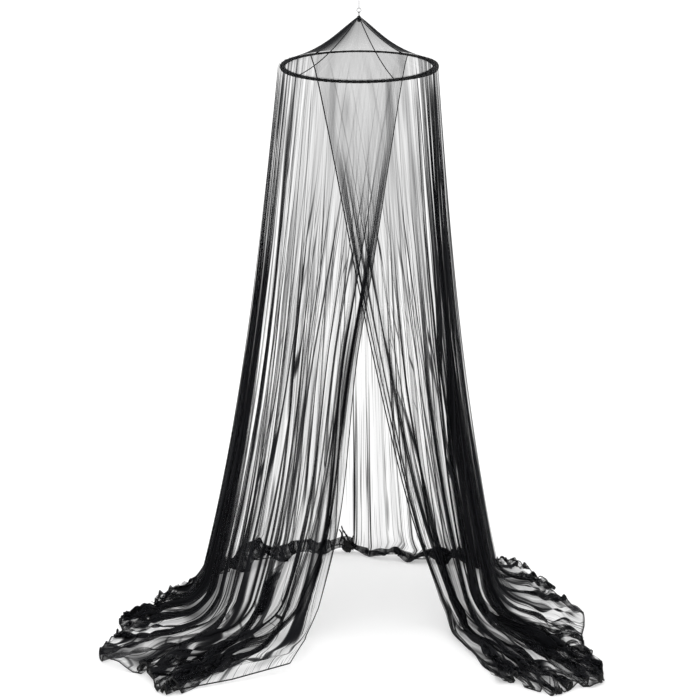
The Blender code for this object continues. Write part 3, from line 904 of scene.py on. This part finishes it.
class CANOPY_OT_curtain(bpy.types.Operator):
    """Hangs the long curtain of net with its rolled hem"""
    bl_idname = "canopy.curtain"
    bl_label = "Curtain"

    def execute(self, context):
        net = context.scene.canopy_net
        rng = np.random.default_rng(CURTAIN_SEED)
        marks, sides = self.rope_sides(self.ropes(rng))
        c = self.columns(marks, sides["middle"], net.columns)
        bend = WALL_SHARE + CORNER_SHARE * BEND_ROW
        v = np.concatenate([np.linspace(0, bend, net.wall_rows, endpoint=False),
                            np.linspace(bend, 1, net.floor_rows)])
        c_grid, v_grid = np.meshgrid(c, v)
        u_grid = self.roped(c, v, marks, sides)
        points, across = self.folded(c_grid, u_grid, v_grid, rng)
        cloth = np.stack([(c_grid - 0.5) * CUT_HEM, v_grid * CUT_LENGTH], axis=-1)
        obj = grid_object("curtain", points, cloth, self.looks(points, across, c_grid, u_grid, v_grid))
        mat = net_material("curtain net", net.color, net.open_share, NET_UNEVEN)
        finish_piece(obj, mat, "net", "curtain_net")
        hem = self.hem(points, net.hem_r)
        return {"FINISHED"}

    @classmethod
    def looks(cls, points, across, c, u, v):
        """What the net's material reads: how gathered, hemmed and uneven the cloth is, its place along the
        run, and how strongly dark threads line it."""
        back = hump(u, *BACK_LOOK)
        legs = ramp(np.abs(u - 0.5), *LEG_SIDE) * ramp(v, *LEG_TOP) * (1 - ramp(v, *LEG_FOOT))
        plain = cls.plain(u, v)
        lined = LINES + LINES_BACK * back + LINES_LOW * ramp(v, *LINES_LOW_FROM) + LINES_LEGS * legs
        return {"gather": cls.gathers(points, across, c, u, v, legs),
                "edge": np.clip(1.0 - (1 - v) * HEM_ROW[0], 0, 1) * HEM_ROW[1],
                "uneven": (1 - BACK_EVEN * back) * (1 - PLAIN_EVEN * plain),
                "place": u * PLACE_SCALE,
                "lined": lined * (1 - LINES_PLAIN_LESS * plain) * smooth(v / LINES_TOP)}

    @classmethod
    def gathers(cls, points, across, c, u, v, legs):
        """How many layers of net lie between two columns: those of the folds and ropes, a least number in the
        back hem and the legs, more in the piles, and at most so many in the legs."""
        full = FULL_TOP + (FULL_LOW - FULL_TOP) * smooth(v / FULL_FROM)
        gather = gather_of(points, across, full * c)
        gather = np.maximum(gather, HEM_GATHER * between(cls.back_hem(u, v)))
        grey = (ramp(v, *GREY_TOP) * (1 - ramp(v, *GREY_FOOT)) * ramp(np.abs(u - 0.5), *GREY_SIDE)
                * (1 - ramp(u, *GREY_EDGE)))
        gather = np.maximum(gather, GREY_LEAST * between(grey))
        pile = 1 + ramp(v, *TRAIN_DARK) * (1 - TRAIN_LESS * ramp(v, *TRAIN_LIGHT))
        inner = BUNDLE_FROM[0] - BUNDLE_FROM[1] * ramp(v, *BUNDLE_SHIFT)
        pile = pile * (1 + BUNDLE_MORE * ramp(u, inner, BUNDLE_SOFT) * ramp(v, *BUNDLE_TOP)
                       * (1 - ramp(v, *BUNDLE_FOOT)))
        for at, reach, more, start, end in PILES:
            pile = pile * (1 + more * hump(u, at, reach, 4) * smooth((v - start) / PILE_SOFT[0] + 0.5)
                           * (1 - smooth((v - end) / PILE_SOFT[1] + 0.5)))
        most = LEG_MOST * between(1 - LEG_EDGE_LESS * ramp(u, *LEG_EDGE)) / np.maximum(between(legs), 0.05)
        return np.minimum(gather * between(pile), most)

    @staticmethod
    def plain_run(u):
        """1 where the cloth is hung without ropes along the hoop: at the lapped front and at the back."""
        return np.clip(1 - (ramp(np.minimum(u, 1 - u), *PLAIN_SIDE) - hump(u, *PLAIN_BACK, 4)), 0, 1)

    @classmethod
    def plain(cls, u, v):
        """1 where the cloth hangs smooth under the hoop."""
        return cls.plain_run(u) * (1 - ramp(v, *PLAIN_END))

    @staticmethod
    def back_hem(u, v):
        """1 where the hem lies as a loose roll along the back."""
        return hump(u, *BACK_HEM) * ramp(v, *BACK_HEM_FROM)

    @staticmethod
    def ropes(rng):
        """The ropes in order from the right front edge to the left one: those of the front as they are
        listed, those of the back at even steps, and thin ones between them."""
        ropes = [dict(zip(ROPE_COLUMNS, row)) for row in RIGHT_ROPES]
        first, last = BACK_SPAN
        least, rest, reach = BACK_THIN
        for i in range(BACK_ROPES):
            at = first + (i + 0.5 + rng.uniform(-BACK_JITTER, BACK_JITTER)) * (last - first) / BACK_ROPES
            size = least + rest * smooth(abs(at - 0.5) / reach)
            ropes.append({"top": at, "middle": at + rng.uniform(-BACK_STRAY[0], BACK_STRAY[0]), "low": at,
                          "hem": at + rng.uniform(-BACK_STRAY[1], BACK_STRAY[1]), "width": BACK_WIDTH * size,
                          "cloth": rng.uniform(*BACK_CLOTH) * (BACK_CLOTH_MIX[0] + BACK_CLOTH_MIX[1] * size)})
        ropes += [dict(zip(ROPE_COLUMNS, row)) for row in LEFT_ROPES]
        thin = []
        for left, right in zip(ropes, ropes[1:]):
            centre = (right["middle"] + left["middle"]) / 2
            step = THIN_STEP * (1 + hump(centre, *BACK_MIDDLE))
            many = 0 if centre > THIN_END else round((right["middle"] - left["middle"]) / step) - 1
            for k in range(many):
                f = (k + 1 + rng.uniform(-THIN_JITTER, THIN_JITTER)) / (many + 1)
                places = {key: left[key] * (1 - f) + right[key] * f for key in ROPE_COLUMNS[:4]}
                thin.append({**places, "width": rng.uniform(*THIN_WIDTH), "cloth": rng.uniform(*THIN_CLOTH)})
        ropes = sorted(ropes + thin, key=lambda rope: rope["middle"])
        for rope in ropes:
            rope["upper"] = rope["top"] * UPPER_MIX[0] + rope["middle"] * UPPER_MIX[1]
            mix = TURN_MIX_EDGE if rope["middle"] > EDGE_ROPES else TURN_MIX
            rope["turn"] = rope["low"] * (1 - mix) + rope["hem"] * mix
        return ropes

    @staticmethod
    def rope_sides(ropes):
        """The shares of cloth at which each rope starts and ends, and where its sides hang at each level."""
        cloth = np.array([rope["cloth"] for rope in ropes])
        cloth = cloth * ROPES_SHARE / cloth.sum()
        middle = np.array([rope["middle"] for rope in ropes])
        width = np.array([rope["width"] for rope in ropes]) * ROPES_WIDE
        edges = np.stack([middle - width / 2, middle + width / 2], axis=1).ravel()
        gaps = np.maximum(np.diff(np.concatenate([[0], edges, [1]]))[::2], LEAST_GAP)
        centre = np.concatenate([[0], (middle[1:] + middle[:-1]) / 2, [1]])
        loose = gaps * sum((more * hump(centre, *place) for more, *place in LOOSER), 1)
        loose = loose * (1 - ROPES_SHARE) / loose.sum()
        marks = np.zeros(2 * len(ropes) + 2)
        marks[1:-1:2] = np.cumsum(loose[:-1]) + np.concatenate([[0], np.cumsum(cloth)[:-1]])
        marks[2:-1:2] = marks[1:-1:2] + cloth
        marks[-1] = 1
        sides = {}
        for key, (_, spread) in LEVELS.items():
            at = np.array([rope[key] for rope in ropes])
            room = np.minimum(np.diff(at, prepend=-at[0]), np.diff(at, append=2 - at[-1]))
            half = np.minimum(width * spread, room * ROPE_ROOM) / 2
            sides[key] = np.concatenate([[0], np.stack([at - half, at + half], axis=1).ravel(), [1]])
        return marks, sides

    @staticmethod
    def columns(marks, places, total):
        """The shares of cloth at which the columns of points lie: a few on each rope and each gap."""
        need = np.diff(marks) * COLUMN_SPLIT[0] + np.diff(places) * COLUMN_SPLIT[1]
        count = np.maximum(1, np.round(need * total * COLUMN_FILL)).astype(int)
        runs = [np.linspace(start, end, n, endpoint=False) for start, end, n in zip(marks, marks[1:], count)]
        return np.concatenate([*runs, [1.0]])

    @classmethod
    def roped(cls, c, v, marks, sides):
        """Where each column of the cloth hangs at each height, with the columns drawn together in ropes."""
        fine = np.linspace(0, 1, ROPE_STEPS)
        places = []
        for key, values in sides.items():
            u = np.interp(fine, marks, values)
            if key in PLAIN_LEVELS:
                u = u + cls.plain_run(u) * PLAIN_LEVELS[key] * (softened(u, SOFTENED) - u)
            places.append(np.interp(c, fine, u))
        places = np.array(places)
        heights = np.array([height for height, _ in LEVELS.values()])
        slopes = np.gradient(places, heights, axis=0)
        slopes[:2] = (places[1] - places[0]) / (heights[1] - heights[0])
        i = np.clip(np.searchsorted(heights, v, side="right") - 1, 0, len(heights) - 2)
        step = np.diff(heights)[i]
        f = ((v - heights[i]) / step)[:, None]
        rise = f * f * (3 - 2 * f)
        u = (places[i] * (1 - rise) + places[i + 1] * rise
             + step[:, None] * (slopes[i] * f * (1 - f) ** 2 - slopes[i + 1] * f * f * (1 - f)))
        return np.maximum.accumulate(np.clip(u, 0, 1), axis=1)

    @classmethod
    def folded(cls, c, u, v, rng):
        """The curtain's points with all its folds, and the level direction along the cloth at each."""
        base, normal, depth, phase, turn, train = curtain_base(u, v)
        across = unit(np.gradient(base, axis=1))
        shape = FOLD_SHAPE[0] * np.sin(phase) + FOLD_SHAPE[1] * np.sin(2 * phase + FOLD_SHAPE[2])
        fine, lean, pleats = cls.fine_folds(c, v, base, rng)
        limit = (1 - FINE_LESS * cls.plain(u, v)) * (1 - FINE_LESS * hump(u, *BACK_MIDDLE))
        calm = smooth(np.minimum(u, 1 - u) / CALM_EDGE)
        even = ramp(u, *ROLL_SMOOTH[0]) * (1 - ramp(u, *ROLL_SMOOTH[1]))
        ruffle = calm * smooth(train * RUFFLE_START) * (1 - RUFFLE_LESS * even) * sum(
            size * np.sin(2 * pi * (count * c + slant * train + drift * wavy(rng, *counts)(c)))
            for count, size, slant, drift, counts in RUFFLES)
        out = depth * (shape + turn) + limit * fine + ruffle + cls.back_roll(c, u, train, even, rng)
        slide = (LEFT_SLIDE[0] * ramp(v, *LEFT_SLIDE[1]) * ramp(u, *LEFT_SLIDE[2])
                 + RIGHT_SLIDE[0] * hump(v, *RIGHT_SLIDE[1]) * (1 - smooth(u / RIGHT_SLIDE[2])))
        points = base + normal * out[..., None] + across * (limit * lean + slide)[..., None]
        band = cls.back_hem(u, v)
        wander = calm * (1 - SIDE_WAVE_LESS * band) * smooth(train * SIDE_WAVE_START) * sum(
            size * np.sin(2 * pi * (count * c + slant * train)) for count, size, slant in SIDE_WAVES)
        points = points + across * wander[..., None]
        heaps = sum(hump(u, *heap) for heap in HEAPS)
        pull = band * (HEM_PULL + HEAP_PULL * heaps * (1 - HEAP_EASE * train) + DIP_PULL * hump(u, *DIP))
        points = points - unit(base * (1, 1, 0)) * pull[..., None]
        rest = FLOOR_Z + FLOOR_REST[0] + FLOOR_REST[1] * (1 + np.sin(pleats))
        points[..., 2] = np.clip(points[..., 2], rest, HOOP_Z + TOP_MOST)
        return points, across

    @staticmethod
    def fine_folds(c, v, base, rng):
        """How far the ripples and pleats stand out, how far the ripples lean aside, and the pleats' phase."""
        drop = np.clip(v / (WALL_SHARE + CORNER_SHARE), 0, 1)
        ripples = 2 * pi * (RIPPLES * c + RIPPLE_DRIFT[0] * wavy(rng, *RIPPLE_DRIFT[1])(c))
        size = wandering(rng, c, *RIPPLE_SIZE)
        ripple = size * (RIPPLE_HIGH[0] + RIPPLE_HIGH[1] * drop ** RIPPLE_HIGH[2]) * np.sin(ripples)
        spacing = np.linalg.norm(np.gradient(base, axis=1), axis=-1) / np.gradient(c[0]) / RIPPLES
        share, most, shift = RIPPLE_LEAN
        lean = size * np.minimum(share * spacing, most) * drop ** 0.5 * np.sin(2 * ripples + shift)
        pleats = 2 * pi * (PLEATS * c + PLEAT_DRIFT[0] * wavy(rng, *PLEAT_DRIFT[1])(c))
        pleat = (PLEAT_HIGH[0] + PLEAT_HIGH[1] * drop) * wandering(rng, c, *PLEAT_SIZE) * np.sin(pleats)
        return ripple + pleat, lean, pleats

    @staticmethod
    def back_roll(c, u, train, even, rng):
        """How high the back hem's loose roll stands."""
        high = ROLL_HIGH + ROLL_HIGHER * ramp(u, *ROLL_CLIMB) * even + ROLL_BUMP_HIGH * hump(u, *ROLL_BUMP)
        high = high * (1 - ROLL_SAG_LESS * hump(u, *ROLL_SAG))
        swing, less, counts = ROLL_WANDER
        return (hump(u, *ROLL_SPAN) * high * (1 + (swing - less * even) * wavy(rng, *counts)(c))
                * np.sin(pi * np.clip(train, 0, 1) ** ROLL_ROUND))

    @staticmethod
    def hem(points, radius):
        """The rolled hem, a thin dark cord along the front edges and the bottom."""
        path = np.concatenate([points[:, 0], points[-1, 1:-1], points[::-1, -1]])
        run = np.concatenate([[0], np.cumsum(np.linalg.norm(np.diff(path, axis=0), axis=1))])
        at = np.arange(0, run[-1], HEM_STEP)
        path = np.stack([np.interp(at, run, path[:, k]) for k in range(3)], axis=1)
        path[:, 2] = np.maximum(path[:, 2], FLOOR_Z + radius)
        obj = tube_object("curtain_hem", path, radius, HEM_SIDES)
        return finish_piece(obj, thread_material("rolled hem", 160.0, 0.02), "net")


class CANOPY_OT_cone(bpy.types.Operator):
    """Stretches the cone of net from the tip to the hoop"""
    bl_idname = "canopy.cone"
    bl_label = "Cone"

    def execute(self, context):
        net = context.scene.canopy_net
        rng = np.random.default_rng(CONE_SEED)
        turn = self.crowded(np.arange(CONE_COLUMNS) / CONE_COLUMNS)
        c, f = np.meshgrid(np.arange(CONE_COLUMNS) / CONE_COLUMNS, np.linspace(0, 1, CONE_ROWS + 1))
        rim_r = HOOP_R + CONE_RIM_OUT
        rim_z = HOOP_Z + HOOP_ROD_R + CONE_RIM_OVER
        tip_z = CONE_BOX[1].z - NET_T / 2
        size = wandering(rng, c, *CONE_PLEAT_SIZE)
        pleat = size * CONE_PLEAT_HIGH * np.sin(2 * pi * CONE_PLEATS * c)
        pleat = pleat * np.sin(pi * np.clip(f, 0, 1)) ** CONE_PLEAT_ROUND
        z = tip_z + (rim_z - tip_z) * f - 4 * CONE_SAG * f * (1 - f) + pleat
        r = CONE_TIP_R + (rim_r - CONE_TIP_R) * f
        r = r - CONE_DIP * self.dips(turn) * CONE_DIP_CURVE * f * f * (1 - f)
        a = 2 * pi * turn + 0 * c
        points = np.stack([r * np.sin(a), -r * np.cos(a), z], axis=-1)
        cover = np.gradient(np.concatenate([turn, [turn[0] + 1]]))[:-1] * 2 * pi
        around = cover * (CONE_SHRINK[0] + CONE_SHRINK[1] * r / rim_r) * rim_r
        gather = np.clip(CONE_FULL / CONE_COLUMNS / around, *CONE_GATHERS)
        for crowd in self.crowds(turn):
            gather = gather * (1 + CONE_CROWD_DARK * crowd)
        cloth = np.stack([c * CONE_CUT[0], f * CONE_CUT[1]], axis=-1)
        edge = np.clip(1 - (1 - f) * CONE_EDGE[0], 0, 1) * CONE_EDGE[1]
        looks = {"gather": gather, "edge": edge, "uneven": CONE_EVEN + 0 * c}
        obj = grid_object("cone", points, cloth, looks, closed=True)
        mat = net_material("cone net", net.color, net.open_share, NET_UNEVEN)
        finish_piece(obj, mat, "net", "cone_net")
        return {"FINISHED"}

    @staticmethod
    def dips(turn):
        """How far the net dips at each share of a turn: not over the cords, and most in the widest gap."""
        cords = [deg for _, deg, _ in CORDS]
        ends = np.array([*cords, cords[0] + 360.0])
        deg = (turn * 360 - ends[0]) % 360 + ends[0]
        i = np.clip(np.searchsorted(ends, deg, side="right") - 1, 0, len(cords) - 1)
        gap = ends[i + 1] - ends[i]
        return np.sin(pi * (deg - ends[i]) / gap) * (gap / 90) ** CONE_DIP_GROWTH

    @staticmethod
    def crowds(turn):
        """How strongly each crowd draws the net together at each share of a turn."""
        for deg, width, height in CONE_CROWDS:
            off = (turn - deg / 360 + 0.5) % 1 - 0.5
            yield height * np.exp(-(off * 360 / width) ** 2)

    @classmethod
    def crowded(cls, share):
        """Where the cone's columns lie round the hoop, closer where the net is drawn together."""
        fine = np.linspace(0, 1, CONE_STEPS)
        crowd = sum(cls.crowds(fine), np.ones_like(fine))
        total = np.concatenate([[0], np.cumsum((crowd[1:] + crowd[:-1]) / 2)])
        return np.interp(share, total / total[-1], fine)


class CANOPY_OT_hoop(bpy.types.Operator):
    """Wraps the round hoop in its gathered sleeve"""
    bl_idname = "canopy.hoop"
    bl_label = "Hoop"

    def execute(self, context):
        rod = context.scene.canopy_frame.sleeve_r
        share = np.arange(SLEEVE_POINTS) / SLEEVE_POINTS
        a = 2 * pi * share
        more, uneven, power = SLEEVE_BUNCH
        bunch = (more + uneven * np.sign(np.sin(a))) * np.abs(np.sin(a)) ** power
        thick = rod * (SLEEVE_THICK[0] - SLEEVE_THICK[1] * np.cos(a) + bunch)
        swell = 1 + waves(SLEEVE_SWELLS, share)
        path = np.stack([HOOP_R * np.sin(a), -HOOP_R * np.cos(a), 0 * a + HOOP_Z], axis=-1)
        obj = tube_object("hoop_sleeve", path, thick * swell, 12, closed=True)
        finish_piece(obj, thread_material("hoop sleeve", 300.0, 0.012), "hoop", "hoop")
        return {"FINISHED"}


class CANOPY_OT_cords(bpy.types.Operator):
    """Lays the twisted cords from the tip to the hoop"""
    bl_idname = "canopy.cords"
    bl_label = "Cords"

    def execute(self, context):
        radius = context.scene.canopy_frame.cord_r
        mat = thread_material("twisted cord", 240.0, 0.03, bump=0.5)
        f = np.linspace(0, 1, CORD_POINTS)
        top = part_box("hanging_loop")[0].z + CORD_START_RISE
        end_r = HOOP_R - HOOP_ROD_R - CORD_END_IN
        r = CORD_START_R + (end_r - CORD_START_R) * f
        thick = radius * CORD_SLIM * (1 + waves(CORD_SWELLS, f))
        for name, deg, sag in CORDS:
            a = radians(deg)
            z = top + (HOOP_Z - top) * f - 4 * (sag + CONE_SAG) * f * (1 - f)
            z = np.minimum(z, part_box(name)[1].z)
            path = np.stack([r * sin(a), -r * cos(a), z], axis=-1)
            obj = tube_object("twisted_" + name, path, thick, 8)
            finish_piece(obj, mat, "cord", name)
        return {"FINISHED"}


class CANOPY_OT_tip(bpy.types.Operator):
    """Ties the knot and loop at the tip and hangs them on the ceiling hook"""
    bl_idname = "canopy.tip"
    bl_label = "Tip and Hook"

    def execute(self, context):
        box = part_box("hanging_loop")
        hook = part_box("ceiling_hook")
        knot_r = (box[1].x - box[0].x) / 2
        knot_z = box[0].z + knot_r * KNOT_MIDDLE
        mat = thread_material("loop tape", 200.0, 0.03, bump=0.5)
        f = np.linspace(0, 1, 200)
        a = 2 * pi * KNOT_WRAPS * f
        r = knot_r * KNOT_WIDE * np.sqrt(np.clip(1 - (2 * KNOT_BULGE * f - KNOT_BULGE) ** 2, KNOT_END, 1))
        path = np.stack([r * np.cos(a), r * np.sin(a), knot_z + knot_r * KNOT_HALF * (2 * f - 1)], axis=-1)
        wraps = tube_object("tip_knot", path, knot_r * KNOT_TAPE, 8)
        b = np.linspace(0, 2 * pi, 64, endpoint=False)
        center = knot_z + knot_r * KNOT_MIDDLE + LOOP_R - LOOP_SUNK
        ring = np.stack([0 * b, LOOP_R * np.cos(b), center + LOOP_R * np.sin(b)], axis=-1)
        loop = tube_object("tip_loop", ring, LOOP_TAPE_R, 8, closed=True)
        finish_piece(wraps, mat, "cord", "hanging_loop")
        finish_piece(loop, mat, "cord", "hanging_loop")
        steel = steel_material()
        hook_r = (hook[1].x - hook[0].x) / 2 - WIRE_R
        middle = hook[0].z + hook_r + WIRE_R
        ring = np.stack([hook_r * np.cos(b), 0 * b, middle + hook_r * np.sin(b)], axis=-1)
        eye = tube_object("hook_eye", ring, WIRE_R, 10, closed=True)
        rise = np.linspace(middle + hook_r, hook[1].z, 12)
        stem = tube_object("hook_shank", np.stack([0 * rise, 0 * rise, rise], axis=-1), WIRE_R, 12)
        finish_piece(eye, steel, "hook", "ceiling_hook")
        finish_piece(stem, steel, "hook", "ceiling_hook")
        return {"FINISHED"}


class CANOPY_OT_hem_knot(bpy.types.Operator):
    """Ties the knot in the back hem"""
    bl_idname = "canopy.hem_knot"
    bl_label = "Hem Knot"

    def execute(self, context):
        low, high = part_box("hem_knot")
        center = Vector(((low.x + high.x) / 2, (low.y + high.y) / 2, FLOOR_Z + HEM_KNOT_RISE))
        deselect_all()
        bpy.ops.mesh.primitive_ico_sphere_add(subdivisions=5, radius=HEM_KNOT_R, location=(0, 0, 0))
        knot = context.active_object
        knot.name = "hem_knot_bunch"
        co = np.zeros(len(knot.data.vertices) * 3)
        knot.data.vertices.foreach_get("co", co)
        co = co.reshape(-1, 3)
        way = unit(co)
        swirl = np.arctan2(way[:, 1], way[:, 0])
        crease = sum(deep * np.sin(across * way[:, 0] + around * swirl + up * way[:, 2])
                     for deep, across, around, up in HEM_KNOT_CREASES)
        co = co * (HEM_KNOT_FULL + crease)[:, None] * (1.0, HEM_KNOT_DEPTH, 1.0) + np.array(center)
        co[:, 2] = np.maximum(co[:, 2], FLOOR_Z + 0.0006)
        knot.data.vertices.foreach_set("co", co.reshape(-1))
        knot.data.shade_smooth()
        uv = knot.data.uv_layers.active or knot.data.uv_layers.new(name="Cloth")
        uv.name = "Cloth"
        mat = thread_material("knotted net", 40.0, 0.02, bump=0.6, distance=0.001)
        finish_piece(knot, mat, "net", "hem_knot")
        f = np.linspace(0, 1, 40)
        reach = high.z - center.z - HEM_TAIL_BELOW
        taper, swell, swells, bends = HEM_TAIL_FORM
        thick = HEM_TAIL_R * (1 - taper * f) * (1 + swell * np.sin(swells * f))
        for name, lean, back, tall, bow in HEM_TAILS:
            path = np.stack([center.x + lean * f + bow * np.sin(bends * f), center.y - back * f,
                             center.z + HEM_TAIL_RISE + (reach * tall - HEM_TAIL_RISE) * f], axis=-1)
            tail = tube_object("hem_knot_" + name, path, thick, 8)
            finish_piece(tail, mat, "net", "hem_knot")
        return {"FINISHED"}


class CANOPY_OT_stage(bpy.types.Operator):
    """Sets the white floor, the soft light and the camera"""
    bl_idname = "canopy.stage"
    bl_label = "Stage"

    def execute(self, context):
        scene = context.scene
        deselect_all()
        bpy.ops.mesh.primitive_plane_add(size=FLOOR_SIZE, location=(0, 0, FLOOR_Z - FLOOR_DROP))
        floor = context.active_object
        floor.name = "floor"
        mat, _, shader = principled("white floor", (FLOOR_TONE, FLOOR_TONE, FLOOR_TONE), 0.8)
        shader.inputs["Specular IOR Level"].default_value = 0.1
        shader.inputs["Emission Color"].default_value = (1, 1, 1, 1)
        shader.inputs["Emission Strength"].default_value = FLOOR_GLOW
        floor.data.materials.append(mat)
        world = bpy.data.worlds.new("white room")
        world.use_nodes = True
        sky = world.node_tree.nodes["Background"]
        sky.inputs["Color"].default_value = (1, 1, 1, 1)
        sky.inputs["Strength"].default_value = ROOM_LIGHT
        scene.world = world
        sun = bpy.data.lights.new("soft key", "SUN")
        sun.energy = KEY_ENERGY
        sun.angle = KEY_ANGLE
        lamp = bpy.data.objects.new("soft key", sun)
        lamp.rotation_euler = KEY_TURN
        scene.collection.objects.link(lamp)
        cam = bpy.data.cameras.new("camera")
        cam.lens = LENS
        cam.sensor_width = SENSOR
        eye = bpy.data.objects.new("camera", cam)
        eye.location = EYE
        eye.rotation_euler = (pi / 2 - EYE_PITCH, 0, 0)
        scene.collection.objects.link(eye)
        scene.camera = eye
        scene.view_settings.view_transform = "Standard"
        scene.cycles.transparent_max_bounces = VEIL_DEPTH
        return {"FINISHED"}


class CANOPY_PT_panel(bpy.types.Panel):
    """Lists the canopy's pieces"""
    bl_label = "Net Canopy"
    bl_idname = "CANOPY_PT_panel"
    bl_space_type = "VIEW_3D"
    bl_region_type = "UI"
    bl_category = "Net Canopy"

    def draw(self, context):
        for settings in (context.scene.canopy_net, context.scene.canopy_frame):
            for key in settings.__annotations__:
                self.layout.prop(settings, key)
        for piece in PIECES:
            self.layout.operator(piece.bl_idname)


PIECES = (CANOPY_OT_stage, CANOPY_OT_hoop, CANOPY_OT_cords, CANOPY_OT_tip, CANOPY_OT_cone,
          CANOPY_OT_curtain, CANOPY_OT_hem_knot)
CLASSES = (CANOPY_PG_net, CANOPY_PG_frame, *PIECES, CANOPY_PT_panel)


def register():
    for item in CLASSES:
        bpy.utils.register_class(item)
    bpy.types.Scene.canopy_net = bpy.props.PointerProperty(type=CANOPY_PG_net)
    bpy.types.Scene.canopy_frame = bpy.props.PointerProperty(type=CANOPY_PG_frame)


def unregister():
    del bpy.types.Scene.canopy_frame
    del bpy.types.Scene.canopy_net
    for item in reversed(CLASSES):
        bpy.utils.unregister_class(item)


def main():
    register()
    deselect_all()
    bpy.ops.canopy.stage()
    bpy.ops.canopy.hoop()
    bpy.ops.canopy.cords()
    bpy.ops.canopy.tip()
    bpy.ops.canopy.cone()
    bpy.ops.canopy.curtain()
    bpy.ops.canopy.hem_knot()


if __name__ == "__main__":
    main()
